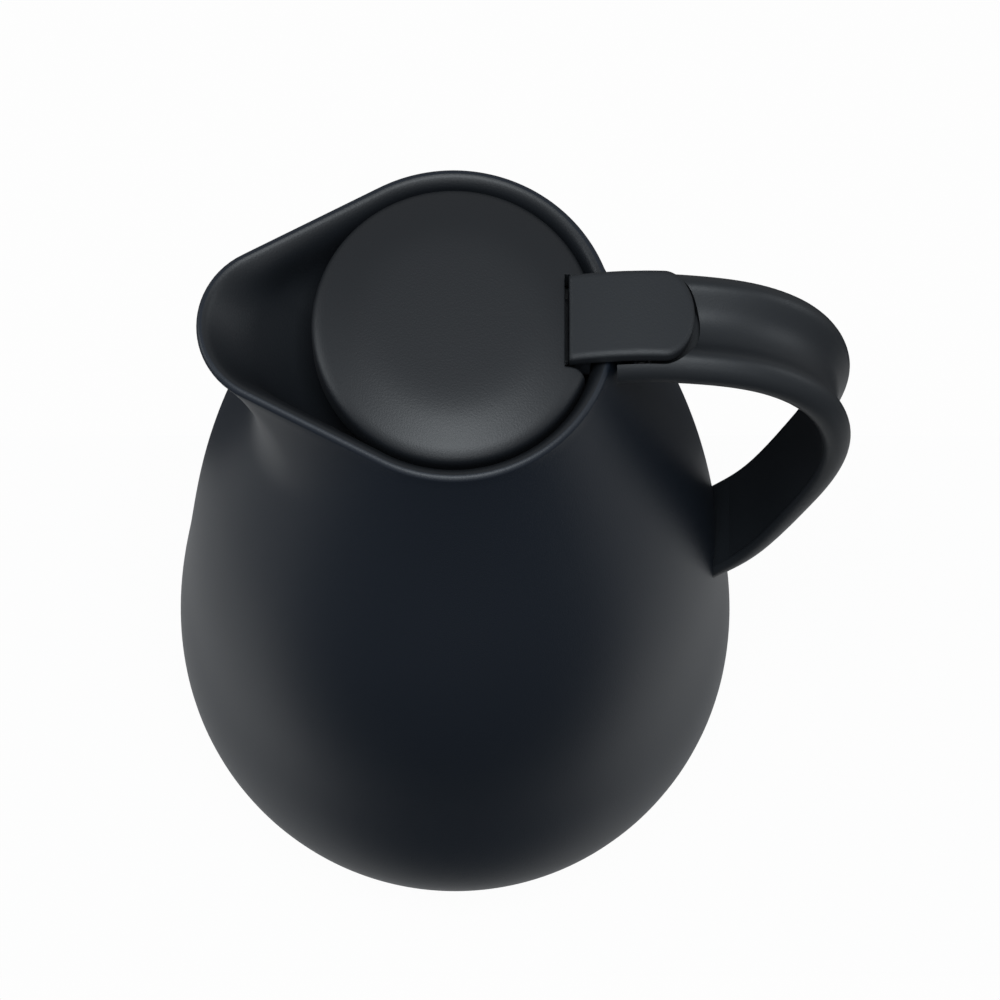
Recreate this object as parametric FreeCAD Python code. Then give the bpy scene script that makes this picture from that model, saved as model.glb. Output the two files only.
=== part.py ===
import FreeCAD, Part
import math
import os

from FreeCAD import Vector

# Thermal carafe, millimetres. The table is z = 0, the body axis is Z,
# the spout points to -X and the handle to +X.

# Body shell
body_radius = 78.0
belly_height = 32.0
rim_height = 197.0
rim_radius = 37.3
wall = 2.6
lip_round = 1.2
foot_height = 0.8
floor_radius = 52.0
join_share = 0.7
profile_height_shares = (0.0, 0.2, 0.4, 0.58, 0.74, 0.87, 0.95, 1.0)
profile_drop_shares = (0.0, 0.105, 0.245, 0.43, 0.655, 0.84, 0.943, 1.0)
rim_slope_share = 0.27
lip_turn_shares = (0.0, 0.35, 0.7, 1.0)

# Spout, drawn out of the shoulder up to the rim
spout_height = 42.0
spout_reach = 59.0
spout_nose_radius = 19.0
spout_fade_share = 1.35
spout_swell_share = 2.0
shoulder_level_shares = (0.0, 0.15, 0.45, 0.75, 1.0)
spout_level_shares = (0.25, 0.5, 0.75, 1.0)
root_split_angle = 22.0
throat_split_angle = 58.0
split_half_angle = 2.0

# Pouring collar under the lip
collar_top_drop = 1.7
collar_edge = 0.5
collar_fit = 0.15
collar_wall = 1.5
throat_depth = 21.0
throat_radius = 28.0
bore_depth = 30.0
bore_radius = 21.5
collar_bottom_depth = 35.0
collar_flange_width = 6.0
collar_flange_thickness = 2.0
trough_mid_share = 0.45
trough_mid_width_share = 0.2
trough_mid_nose_share = 0.34

# Glass flask
glass = 1.8
air_gap = 4.2
vacuum_gap = 6.5
neck_gap = 0.9
flask_flat_radius = 38.0
flask_belly_rise = 12.0
flask_shoulder_drop = 44.0
flask_neck_length = 10.0
flask_corner_shares = ((0.55, 0.14), (0.9, 0.5))
flask_shoulder_shares = ((0.12, 0.33), (0.45, 0.6), (0.8, 0.76), (0.96, 0.89))
flask_line_steps = 18
flask_narrowing_share = 0.6
gasket_thickness = 2.0
tip_radius = 4.0
tip_end_radius = 1.5
tip_length = 4.5
spacer_radius = 4.0
spacer_circle_radius = 26.0
spacer_count = 3

# Base
opening_radius = 46.2
base_fit = 0.2
ring_wall = 2.4
ring_height = 11.2
cap_wall = 3.8
cap_floor = 2.4
cap_recess_radius = 38.0
cap_recess_depth = 3.6
cap_step_wall = 2.4
grip_bar_width = 8.0
seal_radius = 0.95
seal_groove_clearance = 0.25
seal_gap = 0.05
seal_height_share = 0.64
foot_ring_width = 3.4
foot_ring_thickness = 2.0
foot_ring_margin = 0.6
foot_ring_fit = 0.1
cushion_width = 13.0
cushion_inner_radius = 24.0

# Handle strap: its crest line leaves the rim, turns and comes back to the belly
strap_width = 24.6
strap_root_thickness = 8.1
strap_turn_thickness = 6.6
strap_end_thickness = 5.2
strap_rise = 2.2
strap_overhang = 18.2
strap_drop_share = 0.71
strap_embed = 4.0
crest_offset = 8.6
valley_root_depth = 4.0
valley_end_depth = 2.4
strap_edge_round = 1.2
strap_turn_share = 0.5
ridge_depth_share = 0.33
valley_bend_width_share = 0.5
valley_bend_depth_share = 0.68
crest_x_shares = (0.0, 0.284, 0.558, 0.757, 0.9, 0.985, 0.995, 0.9)
crest_z_shares = (0.0, 0.002, 0.0345, 0.0945, 0.184, 0.306, 0.41, 0.615)
crest_approach_share = 0.5
crest_approach_bow = 3.4
station_count = 11
liner_margin = 1.8
liner_thickness = 1.5
liner_fit = 0.1
liner_first_share = 0.2
liner_last_share = 0.9

# Hinge
hinge_offset = 5.8
hinge_drop = 1.0
pin_radius = 1.3
pin_press = 0.02
pin_play = 0.08
knuckle_radius = 2.6
knuckle_half_length = 6.6
ear_radius = 2.2
ear_thickness = 2.6
ear_play = 0.35
ear_gate_share = 0.8
pocket_floor_gap = 0.4
pocket_side_gap = 0.45
pocket_end_gap = 1.7

# Tenon that locates the handle's root in the shell
tenon_half_width = 7.0
tenon_thickness = 2.0
tenon_fit = 0.15

# Handle screws
screw_radius = 1.3
screw_head_radius = 2.6
screw_head_height = 1.8
screw_grip = 2.0
screw_offset = 8.6
screw_height_above_end = 9.0
screw_fit = 0.1
screw_press = 0.02

# Lid
lid_gap = 2.1
lid_sink = 2.0
lid_rise = 5.6
lid_wall = 2.0
lid_skirt = 4.6
dome_radius_shares = (0.0, 0.4, 0.68, 0.87, 1.0)
dome_height_shares = (1.0, 0.985, 0.88, 0.6, 0.0)
lid_flange_drop = 3.8
lid_flange_thickness = 2.4
lid_flange_margin = 2.2
lid_ledge = 1.4
lid_fit = 0.15
stopper_depth = 26.0
stopper_top_radius = 29.0
stopper_bottom_radius = 23.0
stopper_wall = 2.4
gasket_drop = 20.6
gasket_height = 3.0
gasket_inset = 0.8
gasket_seat_gap = 0.6
foam_fit = 0.3
foam_drop = 8.5
post_radius = 3.2
post_x = 13.0
post_y = 5.0
notch_start = 25.4
notch_half_width = 11.0
notch_corner = 4.0
notch_wall = 1.5

# Thumb lever
lever_half_width = 10.1
lever_inner_gap = 1.0
lever_thickness = 3.0
lever_reach = 54.9
lever_end_length = 7.0
lever_inner_rise = 3.2
lever_top_rise = 5.4
lever_end_rise = 4.6
lever_round = 0.9
riser_length = 5.0
tongue_thickness = 2.2
tongue_half_width = 7.8
tongue_end_margin = 4.5
lever_screw_radius = 1.2
lever_screw_head_radius = 2.2
lever_screw_head_height = 1.2
lever_screw_grip = 6.0

cut_over = 2.0
touch = 0.01
bisection_steps = 60

# Heights and places that follow from the sizes above
lip_base = rim_height - lip_round
spout_root_height = rim_height - spout_height
join_height = belly_height + (spout_root_height - belly_height) * join_share
collar_top = rim_height - collar_top_drop
throat_height = rim_height - throat_depth
bore_height = rim_height - bore_depth
collar_bottom = rim_height - collar_bottom_depth
mouth_height = collar_bottom - gasket_thickness
flask_neck_radius = bore_radius + 2 * glass + neck_gap
lid_radius = rim_radius - wall - lid_gap
lid_edge_height = rim_height - lid_sink
flange_top = lid_edge_height - lid_flange_drop
flange_radius = lid_radius - lid_flange_margin
stopper_bottom = rim_height - stopper_depth
hinge_x = rim_radius + hinge_offset
hinge_z = rim_height - hinge_drop
pocket_floor = hinge_z - knuckle_radius - pocket_floor_gap
lever_start = notch_start + lever_inner_gap
cap_radius = opening_radius - base_fit
cap_top = foot_height + ring_height
recess_ceiling = foot_height + cap_recess_depth
cap_floor_top = recess_ceiling + cap_floor
flask_bottom = cap_top
flask_belly_height = belly_height + flask_belly_rise
flask_neck_height = mouth_height - flask_neck_length
flask_shoulder_height = flask_neck_height - flask_shoulder_drop
flask_side_height = (flask_belly_height + flask_shoulder_height) / 2
strap_reach = body_radius + strap_overhang - rim_radius
strap_drop = (rim_height + strap_rise - belly_height) * strap_drop_share
well_above = rim_height + body_radius

UP = Vector(0, 0, 1)
ACROSS = Vector(0, 1, 0)
ALONG = Vector(1, 0, 0)
ORIGIN = Vector(0, 0, 0)


def at(x, z):
    """Point in the plane through the axis, the spout and the handle."""
    return Vector(x, 0, z)


def line(a, b):
    return Part.LineSegment(a, b).toShape()


def turned(edges):
    """Solid of revolution about Z of a closed outline in the XZ plane."""
    face = Part.Face(Part.Wire(Part.sortEdges(edges)[0]))
    return face.revolve(ORIGIN, UP, 360)


def turned_polygon(points):
    corners = [at(x, z) for x, z in points]
    return turned([line(a, b) for a, b in zip(corners, corners[1:] + corners[:1])])


def tube(inner, outer, low, high):
    return turned_polygon([(inner, low), (outer, low), (outer, high), (inner, high)])


def rod(radius, low, high, x=0.0, y=0.0):
    return Part.makeCylinder(radius, high - low, Vector(x, y, low), UP)


def block(x0, x1, half_width, z0, z1):
    return Part.makeBox(x1 - x0, 2 * half_width, z1 - z0, Vector(x0, -half_width, z0))


def blend(a, b, share):
    return a + (b - a) * share


def oval_curve(centre, reach_a, reach_b):
    """Ellipse about a centre with two half-axes, the longer one leading."""
    if reach_a.Length < reach_b.Length:
        return Part.Ellipse(centre + reach_b, centre + reach_a, centre)
    return Part.Ellipse(centre + reach_a, centre + reach_b, centre)


# Outer form of the body

def upper_curve():
    """Side line from the belly to the rim, upright at the belly."""
    rise = lip_base - belly_height
    drop = body_radius - rim_radius
    points = [at(body_radius - drop * d, belly_height + rise * h)
              for h, d in zip(profile_height_shares, profile_drop_shares)]
    curve = Part.BSplineCurve()
    curve.interpolate(Points=points, InitialTangent=at(0, rise),
                      FinalTangent=at(-rise * rim_slope_share, rise))
    return curve


SIDE = upper_curve()


def side_parameter(z):
    low, high = SIDE.FirstParameter, SIDE.LastParameter
    for _ in range(bisection_steps):
        middle = (low + high) / 2
        if SIDE.value(middle).z < z:
            low = middle
        else:
            high = middle
    return (low + high) / 2


def body_radius_at(z):
    return SIDE.value(side_parameter(z)).x


def lower_form(inset):
    """Belly and underside as a solid up to the join height, drawn in by inset."""
    drop = belly_height - foot_height - inset
    width = body_radius - floor_radius - inset
    floor = foot_height + inset
    centre = at(floor_radius, belly_height)
    oval = oval_curve(centre, at(0, drop), at(width, 0))
    belly_point = centre + at(width, 0)
    floor_point = centre - at(0, drop)
    first, last = oval.parameter(belly_point), oval.parameter(floor_point)
    under = Part.Edge(oval, min(first, last), max(first, last))
    if under.Length > math.pi * max(drop, width):
        under = Part.Edge(oval, max(first, last), min(first, last) + 2 * math.pi)
    side = Part.Edge(SIDE, SIDE.FirstParameter, side_parameter(join_height))
    side.translate(at(-inset, 0))
    top_radius = body_radius_at(join_height) - inset
    edges = [line(at(0, floor), at(floor_radius, floor)), under, side,
             line(at(top_radius, join_height), at(0, join_height)),
             line(at(0, join_height), at(0, floor))]
    return turned(edges)


def drop_outline(z, main, nose, centre, split=root_split_angle):
    """Drop-shaped outline: a main arc about the axis, a nose arc towards -X and two flanks.

    Where the nose lies on the axis the outline is round, and split says where its flanks are."""
    def on_main(angle):
        return Vector(-main * math.cos(angle), main * math.sin(angle), z)

    def on_nose(angle):
        return Vector(-centre - nose * math.cos(angle), nose * math.sin(angle), z)

    main_angle = math.radians(split + split_half_angle)
    nose_angle = math.radians(split - split_half_angle)
    if centre > 0:
        main_angle = math.acos((main - nose) / centre)
        nose_angle = main_angle
    flanks = []
    for side in (1, -1):
        a, b = on_nose(side * nose_angle), on_main(side * main_angle)
        if centre > 0:
            flanks.append(line(a, b))
        else:
            flanks.append(Part.Arc(a, on_main(side * math.radians(split)), b).toShape())
    front = Part.Arc(on_nose(-nose_angle), on_nose(0), on_nose(nose_angle)).toShape()
    back = Part.Arc(on_main(main_angle), Vector(main, 0, z), on_main(-main_angle)).toShape()
    return Part.Wire([front, flanks[0], back, flanks[1]])


def spout_sizes(z):
    """Main radius, nose radius and nose centre of the body's outline at height z."""
    main = body_radius_at(z)
    share = (z - spout_root_height) / (lip_base - spout_root_height)
    if share <= 0:
        return main, main, 0.0
    root = body_radius_at(spout_root_height)
    nose = blend(spout_nose_radius, root, (1 - share) ** spout_fade_share)
    tip = main + (spout_reach - rim_radius) * share ** spout_swell_share
    return main, nose, tip - nose


def body_outline(z, inset):
    main, nose, centre = spout_sizes(z)
    return drop_outline(z, main - inset, nose - inset, centre)


def upper_form(inset):
    """Shoulder and spout as a solid from the join height to the foot of the lip."""
    heights = [blend(join_height, spout_root_height, s) for s in shoulder_level_shares]
    heights += [blend(spout_root_height, lip_base, s) for s in spout_level_shares]
    return Part.makeLoft([body_outline(z, inset) for z in heights], True, False)


def lip_form(inset, lean):
    """Rolled lip as a solid above the shoulder; lean -1 rounds it inwards, 1 opens it outwards."""
    outlines = []
    for share in lip_turn_shares:
        turn = math.pi / 2 * share
        set_back = inset - lean * lip_round * (1 - math.cos(turn))
        main, nose, centre = spout_sizes(lip_base)
        outlines.append(drop_outline(lip_base + lip_round * math.sin(turn),
                                     main - set_back, nose - set_back, centre))
    return Part.makeLoft(outlines, True, False)


def body_form(inset, lean):
    return lower_form(inset).fuse([upper_form(inset), lip_form(inset, lean)]).removeSplitter()


BODY = body_form(0.0, -1)


# Handle strap

def crest_points():
    """Crest line of the strap: out from the rim, round the turn, back into the belly."""
    top = rim_height + strap_rise
    end_z = top - strap_drop
    end_x = body_radius_at(end_z) - strap_embed
    points = [at(rim_radius + strap_reach * x, top - strap_drop * z)
              for x, z in zip(crest_x_shares, crest_z_shares)]
    last = points[-1]
    approach = at(blend(last.x, end_x, crest_approach_share) + crest_approach_bow,
                  blend(last.z, end_z, crest_approach_share))
    return points + [approach, at(end_x, end_z)]


def crest_curve():
    curve = Part.BSplineCurve()
    curve.interpolate(Points=crest_points())
    return curve


CREST = crest_curve()


def station(share):
    """Point, outward direction, thickness and valley depth of the strap at a share of its length."""
    parameter = CREST.parameterAtDistance(CREST.length() * share, CREST.FirstParameter)
    point = CREST.value(parameter)
    run = CREST.tangent(parameter)[0]
    outward = Vector(-run.z, 0, run.x)
    if share < strap_turn_share:
        thickness = blend(strap_root_thickness, strap_turn_thickness, share / strap_turn_share)
    else:
        past = (share - strap_turn_share) / (1 - strap_turn_share)
        thickness = blend(strap_turn_thickness, strap_end_thickness, past)
    valley = blend(valley_root_depth, valley_end_depth, share)
    return point, outward, thickness, valley


def strap_section(share):
    """Cross section of the strap: flat inner side, two rolled ridges and a valley between them."""
    point, outward, thickness, valley = station(share)
    half = strap_width / 2

    def local(y, depth):
        return point + ACROSS * y - outward * depth

    flank = (half + crest_offset) / 2
    side = [(half - strap_edge_round, thickness), (half, thickness - 2 * strap_edge_round),
            (flank + strap_edge_round / 2, valley * ridge_depth_share), (crest_offset, 0.0),
            (crest_offset * valley_bend_width_share, valley * valley_bend_depth_share)]
    outline = [local(y, d) for y, d in side] + [local(0.0, valley)]
    outline += [local(-y, d) for y, d in reversed(side)]
    curve = Part.BSplineCurve()
    curve.interpolate(Points=outline)
    return Part.Wire([curve.toShape(), line(outline[-1], outline[0])])


def liner_section(share, clearance):
    point, outward, thickness, _ = station(share)
    half = strap_width / 2 - liner_margin + clearance
    top = thickness - liner_thickness - clearance
    bottom = thickness + (cut_over if clearance else 0.0)
    corners = [point + ACROSS * y - outward * d
               for y, d in ((-half, bottom), (half, bottom), (half, top), (-half, top))]
    return Part.Wire([line(a, b) for a, b in zip(corners, corners[1:] + corners[:1])])


def liner_form(clearance):
    """Strip along the inner side of the strap; with a clearance it is the recess for it."""
    slack = clearance / CREST.length()
    first, last = liner_first_share - slack, liner_last_share + slack
    shares = [blend(first, last, i / (station_count - 1)) for i in range(station_count)]
    return Part.makeLoft([liner_section(s, clearance) for s in shares], True, False)


def lever_outline(gap, end_gap, start):
    """Plan of the lever: parallel sides and an oval outer end."""
    half = lever_half_width + gap
    tip = lever_reach + end_gap
    centre = at(lever_reach - lever_end_length, 0)
    oval = oval_curve(centre, ACROSS * half, ALONG * (tip - centre.x))
    middle = oval.parameter(at(tip, 0))
    end = Part.Edge(oval, middle - math.pi / 2, middle + math.pi / 2)
    a, b = centre - ACROSS * half, centre + ACROSS * half
    c, d = Vector(start, half, 0), Vector(start, -half, 0)
    wire = Part.Wire(Part.sortEdges([end, line(b, c), line(c, d), line(d, a)])[0])
    return Part.Face(wire)


def lever_prism(gap, end_gap, start, low, high):
    face = lever_outline(gap, end_gap, start)
    face.translate(at(0, low))
    return face.extrude(at(0, high - low))


def hinge_rod(radius, half_length):
    return Part.makeCylinder(radius, 2 * half_length, Vector(hinge_x, -half_length, hinge_z), ACROSS)


def ear(side):
    """Upright ear in the lever pocket, an open clip that the pin snaps into from above."""
    y = knuckle_half_length + ear_play
    start = y if side > 0 else -y - ear_thickness
    eye = Part.makeCylinder(ear_radius, ear_thickness, Vector(hinge_x, start, hinge_z), ACROSS)
    foot = Part.makeBox(2 * ear_radius, ear_thickness, hinge_z - pocket_floor + wall / 2,
                        Vector(hinge_x - ear_radius, start, pocket_floor - wall / 2))
    gate = pin_radius * ear_gate_share
    opening = Part.makeBox(2 * gate, ear_thickness, ear_radius + cut_over,
                           Vector(hinge_x - gate, start, hinge_z))
    return eye.fuse(foot).cut(opening)


ear_outside = knuckle_half_length + ear_play + ear_thickness
strap_underside = rim_height + strap_rise - strap_root_thickness
tenon_top = strap_underside + tenon_thickness
end_height = rim_height + strap_rise - strap_drop
screw_height = end_height + screw_height_above_end


def screw_seat():
    """Distance from the axis at which the handle screws' heads meet the shell's inner wall."""
    inner = body_radius_at(screw_height) - wall
    return math.sqrt(inner ** 2 - (screw_offset + screw_head_radius) ** 2) - screw_fit


def handle_screw(y, clearance, head_clearance):
    seat = screw_seat()
    inner = body_radius_at(screw_height)
    reach = inner + screw_grip - seat
    shank = Part.makeCylinder(screw_radius + clearance, reach, Vector(seat, y, screw_height), ALONG)
    head = Part.makeCylinder(screw_head_radius + head_clearance, screw_head_height,
                             Vector(seat - screw_head_height, y, screw_height), ALONG)
    return shank.fuse(head)


def tenon_form(clearance):
    """Tab on the handle's root that locates it in a slot of the shell's neck."""
    inside = body_radius_at(tenon_top) - wall
    start = inside - cut_over if clearance else inside + tenon_fit
    return block(start, hinge_x, tenon_half_width + clearance,
                 strap_underside - clearance, tenon_top + clearance)


def make_handle_shell():
    shares = [i / (station_count - 1) for i in range(station_count)]
    strap = Part.makeLoft([strap_section(s) for s in shares], True, False)
    strap = strap.cut(liner_form(liner_fit))
    strap = strap.cut(lever_prism(pocket_side_gap, pocket_end_gap, lever_start,
                                  pocket_floor, well_above))
    strap = strap.fuse([ear(1), ear(-1)])
    strap = strap.cut(BODY)
    strap = strap.fuse(tenon_form(0.0)).removeSplitter()
    strap = strap.cut(hinge_rod(pin_radius + pin_play, ear_outside + ear_play))
    for side in (1, -1):
        strap = strap.cut(handle_screw(side * screw_offset, screw_press, 0.0))
    return strap


# Shell and the pieces under it

def foot_groove(clearance):
    outer = floor_radius - foot_ring_margin
    inner = outer - foot_ring_width
    return tube(inner - clearance, outer + clearance, 0.0, foot_ring_thickness + clearance)


def make_outer_shell():
    shell = BODY.cut(body_form(wall, 1))
    ring = tube(opening_radius, opening_radius + ring_wall, foot_height, foot_height + ring_height)
    shell = shell.fuse(ring).cut(rod(opening_radius, -cut_over, foot_height + ring_height))
    shell = shell.cut(foot_groove(foot_ring_fit))
    shell = shell.cut(tenon_form(tenon_fit))
    for side in (1, -1):
        shell = shell.cut(handle_screw(side * screw_offset, screw_fit, 0.0))
    return shell.removeSplitter()


def trough_form(thickness):
    """Pouring trough as a solid from the throat to the collar's thin top edge, drawn in by thickness."""
    main, nose, centre = spout_sizes(collar_top)
    edge = wall + collar_fit + min(thickness, collar_edge)
    inset = wall + collar_fit + thickness
    low = throat_radius + collar_wall - thickness
    middle = (blend(main - inset, low, trough_mid_width_share),
              blend(nose - inset, low, trough_mid_nose_share), blend(centre, 0.0, trough_mid_nose_share))
    levels = [(throat_height, (low, low, 0.0)),
              (blend(collar_top, throat_height, trough_mid_share), middle),
              (collar_top, (main - edge, nose - edge, centre))]
    outlines = [drop_outline(z, *sizes, split=throat_split_angle) for z, sizes in levels]
    return Part.makeLoft(outlines, True, False)


def make_pour_collar():
    outer_throat = throat_radius + collar_wall
    outer_bore = bore_radius + collar_wall
    cone = turned_polygon([(0, bore_height), (outer_bore, bore_height),
                           (outer_throat, throat_height), (0, throat_height)])
    spigot = rod(outer_bore, collar_bottom, bore_height)
    flange = rod(outer_bore + collar_flange_width, collar_bottom,
                 collar_bottom + collar_flange_thickness)
    outside = trough_form(0.0).fuse([cone, spigot, flange])
    inner_cone = turned_polygon([(0, bore_height), (bore_radius, bore_height),
                                 (throat_radius, throat_height), (0, throat_height)])
    bore = rod(bore_radius, collar_bottom - cut_over, bore_height)
    inside = trough_form(collar_wall).fuse([inner_cone, bore])
    return outside.cut(inside).removeSplitter()


def flask_line():
    """Outside line of the flask from the edge of its flat bottom to its neck."""
    def flank(z):
        return at(body_radius_at(z) - wall - air_gap, z)

    foot, belly = at(flask_flat_radius, flask_bottom), flank(flask_belly_height)
    shoulder, neck = flank(flask_shoulder_height), at(flask_neck_radius, flask_neck_height)
    points = [foot]
    points += [at(blend(foot.x, belly.x, x), blend(foot.z, belly.z, z)) for x, z in flask_corner_shares]
    points += [belly, flank(flask_side_height), shoulder]
    points += [at(blend(shoulder.x, neck.x, x), blend(shoulder.z, neck.z, z))
               for x, z in flask_shoulder_shares]
    curve = Part.BSplineCurve()
    curve.interpolate(Points=points + [neck])
    return curve


FLASK = flask_line()


def flask_form(inset, neck_inset, top):
    """Bottle-shaped solid, drawn in from the outside of the flask, with its own inset at the neck."""
    points = []
    end_runs = {0: ALONG, flask_line_steps: UP}
    for i in range(flask_line_steps + 1):
        share = i / flask_line_steps
        parameter = blend(FLASK.FirstParameter, FLASK.LastParameter, share)
        run = end_runs[i] if i in end_runs else FLASK.tangent(parameter)[0]
        narrowing = max(0.0, (share - flask_narrowing_share) / (1 - flask_narrowing_share))
        set_in = blend(inset, neck_inset, narrowing)
        points.append(FLASK.value(parameter) + at(-run.z, run.x) * set_in)
    curve = Part.BSplineCurve()
    curve.interpolate(Points=points)
    first, last = points[0], points[-1]
    edges = [line(at(0, first.z), first), curve.toShape(), line(last, at(last.x, top)),
             line(at(last.x, top), at(0, top)), line(at(0, top), at(0, first.z))]
    return turned(edges)


seam_height = mouth_height - glass


def make_flask_outer():
    outside = flask_form(0.0, 0.0, seam_height)
    hollow = flask_form(glass, glass, seam_height)
    tip = turned_polygon([(0, flask_bottom - tip_length), (tip_end_radius, flask_bottom - tip_length),
                          (tip_radius, flask_bottom + glass), (0, flask_bottom + glass)])
    return outside.cut(hollow).fuse(tip).removeSplitter()


def make_flask_inner():
    outside = flask_form(glass + vacuum_gap, glass + neck_gap, seam_height)
    outside = outside.fuse(rod(flask_neck_radius, seam_height, mouth_height))
    hollow = flask_form(2 * glass + vacuum_gap, 2 * glass + neck_gap, mouth_height)
    return outside.cut(hollow).removeSplitter()


def make_flask_spacers():
    low = flask_bottom + glass
    pads = []
    for i in range(spacer_count):
        angle = 2 * math.pi * i / spacer_count
        x, y = spacer_circle_radius * math.cos(angle), spacer_circle_radius * math.sin(angle)
        pads.append(rod(spacer_radius, low, low + vacuum_gap, x, y))
    return Part.makeCompound(pads)


def make_mouth_gasket():
    return tube(bore_radius, flask_neck_radius, mouth_height, collar_bottom)


def make_flask_cushion():
    outer = cushion_inner_radius + cushion_width
    return tube(cushion_inner_radius, outer, cap_floor_top, flask_bottom)


seal_height = foot_height + ring_height * seal_height_share
seal_ring_radius = opening_radius - seal_radius - seal_gap


def make_base_cap():
    wall_inner = cap_radius - cap_wall
    step = cap_recess_radius + cap_step_wall
    cup = turned_polygon([(0, recess_ceiling), (cap_recess_radius, recess_ceiling),
                          (cap_recess_radius, foot_height), (cap_radius, foot_height),
                          (cap_radius, cap_top), (wall_inner, cap_top),
                          (wall_inner, foot_height + cap_floor), (step, foot_height + cap_floor),
                          (step, cap_floor_top), (0, cap_floor_top)])
    bar = block(-cap_recess_radius, cap_recess_radius, grip_bar_width / 2, foot_height, recess_ceiling)
    bar = bar.common(rod(cap_recess_radius, foot_height, recess_ceiling))
    reach = seal_radius + seal_groove_clearance
    groove = tube(seal_ring_radius - reach, opening_radius + cut_over,
                  seal_height - reach, seal_height + reach)
    return cup.fuse(bar).cut(groove).removeSplitter()


def make_base_seal():
    return Part.makeTorus(seal_ring_radius, seal_radius, at(0, seal_height), UP)


# Lid and lever

def dome_curve(inset):
    """Side line of the lid's top from the axis to its widest edge."""
    points = [at((lid_radius - inset) * r, lid_edge_height - inset + lid_rise * h)
              for r, h in zip(dome_radius_shares, dome_height_shares)]
    curve = Part.BSplineCurve()
    curve.interpolate(Points=points, InitialTangent=at(lid_radius, 0),
                      FinalTangent=at(0, -lid_radius))
    return curve.toShape(), points


def dome_form(inset, low):
    top, points = dome_curve(inset)
    rim = points[-1]
    edges = [top, line(rim, at(rim.x, low)), line(at(rim.x, low), at(0, low)),
             line(at(0, low), points[0])]
    return turned(edges)


def notch_form(clearance):
    """Notch for the lever, with its outer corners rounded into the lid's edge."""
    half = notch_half_width + clearance
    start = notch_start - clearance
    high = lid_edge_height + lid_rise + cut_over
    low = lid_edge_height - lid_skirt - cut_over
    cut = block(start, lid_radius + cut_over, half, low, high)
    if clearance:
        return cut
    mouth = math.sqrt(lid_radius ** 2 - (half + notch_corner) ** 2)
    for side in (1, -1):
        flare = block(mouth - notch_corner / 2, lid_radius + cut_over, notch_corner / 2, low, high)
        flare.translate(ACROSS * (side * (half + notch_corner / 2)))
        round_post = rod(notch_corner, low, high, mouth - notch_corner / 2, side * (half + notch_corner))
        cut = cut.fuse(flare.cut(round_post))
    return cut


def make_lid_cover():
    low = lid_edge_height - lid_skirt
    outside = dome_form(0.0, low)
    seat = flange_radius + lid_fit
    inside = dome_form(lid_wall, flange_top)
    inside = inside.common(rod(seat - lid_ledge, flange_top, lid_edge_height + lid_rise))
    inside = inside.fuse(rod(seat, low - cut_over, flange_top))
    web_low = flange_top + tongue_thickness + lid_fit
    web = notch_form(notch_wall)
    web = web.common(block(0, lid_radius, body_radius, web_low, well_above))
    shell = outside.cut(inside.cut(web))
    return shell.cut(notch_form(0.0)).removeSplitter()


def stopper_radius(z):
    top = flange_top - lid_flange_thickness
    share = (top - z) / (top - stopper_bottom)
    return blend(stopper_top_radius, stopper_bottom_radius, share)


gasket_low = rim_height - gasket_drop - gasket_height
gasket_high = rim_height - gasket_drop


def make_lid_base():
    under = flange_top - lid_flange_thickness
    cone = turned_polygon([(0, stopper_bottom), (stopper_bottom_radius, stopper_bottom),
                           (stopper_top_radius, under), (flange_radius, under),
                           (flange_radius, flange_top), (0, flange_top)])
    floor = stopper_bottom + stopper_wall
    hollow = turned_polygon([(0, floor), (stopper_radius(floor) - stopper_wall, floor),
                             (stopper_top_radius - stopper_wall, under),
                             (stopper_top_radius - stopper_wall, flange_top + cut_over),
                             (0, flange_top + cut_over)])
    base = cone.cut(hollow)
    for side in (1, -1):
        base = base.fuse(rod(post_radius, floor - stopper_wall / 2, flange_top, post_x, side * post_y))
        base = base.cut(rod(lever_screw_radius + screw_press, flange_top - lever_screw_grip,
                            flange_top + cut_over, post_x, side * post_y))
    groove = tube(stopper_radius(gasket_low) - gasket_inset, lid_radius, gasket_low, gasket_high)
    return base.cut(groove).removeSplitter()


def throat_line(z):
    """Radius of the collar's inner face where the gasket seats."""
    share = (throat_height - z) / (throat_height - bore_height)
    return blend(throat_radius, bore_radius, share)


def make_lid_gasket():
    inner = stopper_radius(gasket_low) - gasket_inset
    return turned_polygon([(inner, gasket_low), (throat_line(gasket_low) - gasket_seat_gap, gasket_low),
                           (throat_radius - gasket_seat_gap, throat_height),
                           (throat_radius - gasket_seat_gap, gasket_high), (inner, gasket_high)])


def make_lid_insulation():
    low = stopper_bottom + stopper_wall
    high = flange_top - foam_drop
    slack = stopper_wall + foam_fit
    foam = turned_polygon([(0, low), (stopper_radius(low) - slack, low),
                           (stopper_radius(high) - slack, high), (0, high)])
    for side in (1, -1):
        foam = foam.cut(rod(post_radius + foam_fit, low - cut_over, high + cut_over,
                            post_x, side * post_y))
    return foam


def lever_arcs():
    """Upper and lower side line of the lever plate, over the rim and down to both ends."""
    xs = (lever_start, hinge_x, lever_reach)
    rises = (lever_inner_rise, lever_top_rise, lever_end_rise)
    top = [at(x, rim_height + r) for x, r in zip(xs, rises)]
    bottom = [p - at(0, lever_thickness) for p in top]
    return Part.Arc(*top).toShape(), Part.Arc(*bottom).toShape()


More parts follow.
